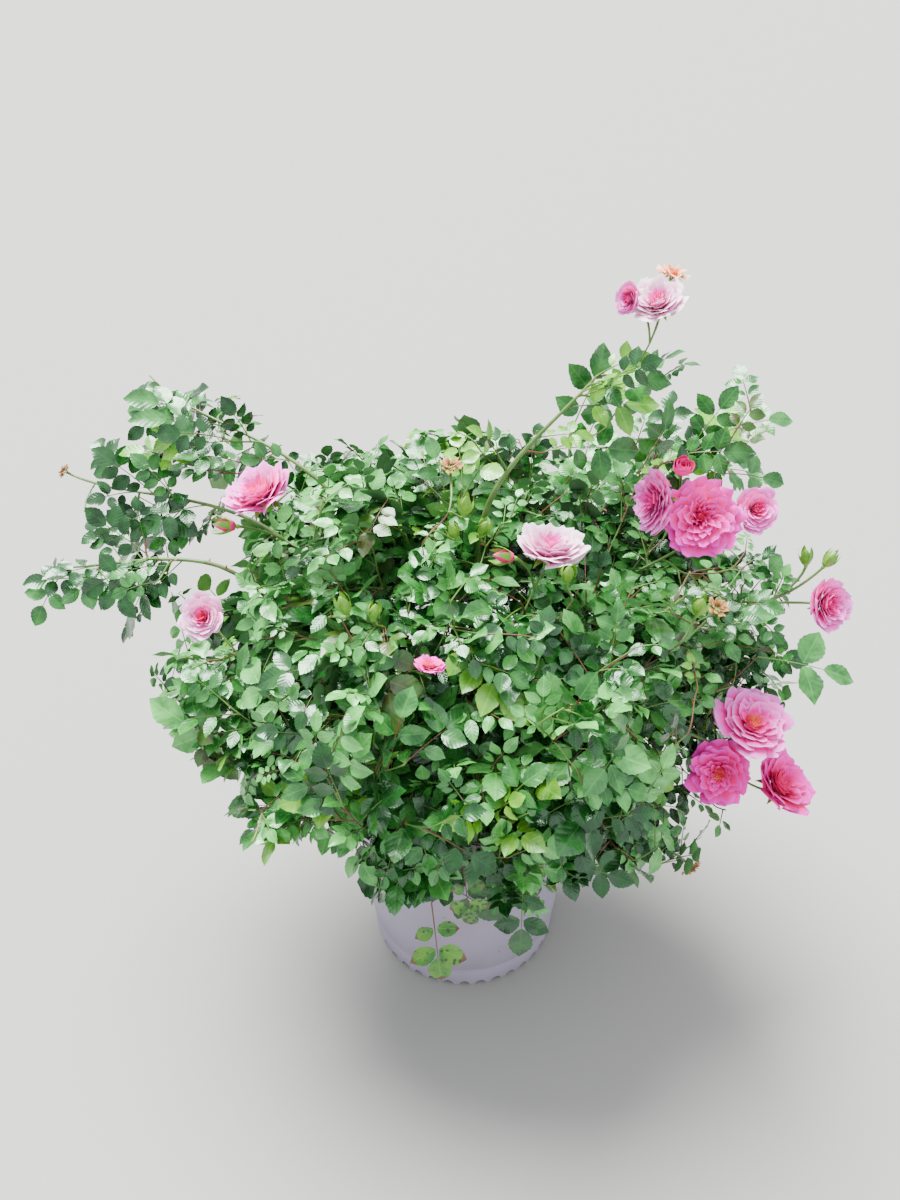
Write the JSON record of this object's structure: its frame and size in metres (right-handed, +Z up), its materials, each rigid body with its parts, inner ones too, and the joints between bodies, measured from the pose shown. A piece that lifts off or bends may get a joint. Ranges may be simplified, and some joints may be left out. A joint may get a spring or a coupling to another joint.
{
  "type": "potted rose bush",
  "caption": "Bushy shrub rose in flower with long arching shoots, growing in a round plastic nursery pot filled with bark mix.",
  "frame": {"origin": "centre of the pot's flat underside, which stands on the ground", "axes": "+Z up along the pot's axis; +X to the right and -Y towards the viewer of the picture"},
  "size_m": [0.7066, 0.4828, 0.668],
  "materials": {
    "pot_plastic": "pale lilac-grey moulded plastic, slightly dusty",
    "potting_mix": "moist bark chips",
    "bark": "old rough bark",
    "cane_bark": "smooth green young bark with prickles",
    "foliage": "glossy green leaves with pale pink blooms"
  },
  "bodies": {
    "root": {"pot": "pot_plastic", "potting_soil": "potting_mix", "stem_base": "bark", "cane_top_front": "cane_bark", "foliage_top_front": "foliage", "cane_top_back": "cane_bark", "foliage_top_back": "foliage", "cane_top_left": "cane_bark", "foliage_top_left": "foliage", "cane_tall_shoot": "cane_bark", "foliage_tall_shoot": "foliage", "branch_top_right": "cane_bark", "foliage_top_right": "foliage", "cane_upper_front_left": "cane_bark", "foliage_upper_front_left": "foliage", "cane_upper_front_right": "cane_bark", "foliage_upper_front_right": "foliage", "cane_left": "cane_bark", "foliage_left": "foliage", "cane_right": "cane_bark", "foliage_right": "foliage", "cane_front": "cane_bark", "foliage_front": "foliage", "cane_back": "cane_bark", "foliage_back": "foliage", "cane_back_left": "cane_bark", "foliage_back_left": "foliage", "cane_back_right": "cane_bark", "foliage_back_right": "foliage", "branch_low_front_left": "cane_bark", "foliage_low_front_left": "foliage", "branch_low_front": "cane_bark", "foliage_low_front": "foliage", "branch_low_front_right": "cane_bark", "foliage_low_front_right": "foliage", "branch_low_back_left": "cane_bark", "foliage_low_back_left": "foliage", "branch_low_back_right": "cane_bark", "foliage_low_back_right": "foliage", "branch_left_upper_shoot": "cane_bark", "foliage_left_upper_shoot": "foliage", "branch_left_middle_shoot": "cane_bark", "foliage_left_middle_shoot": "foliage", "branch_left_lower_shoot": "cane_bark", "foliage_left_lower_shoot": "foliage", "branch_right_upper_shoot": "cane_bark", "foliage_right_upper_shoot": "foliage", "branch_right_bloom_shoot": "cane_bark", "foliage_right_bloom_shoot": "foliage", "branch_right_low_shoot": "cane_bark", "foliage_right_low_shoot": "foliage"}
  },
  "joints": []
}
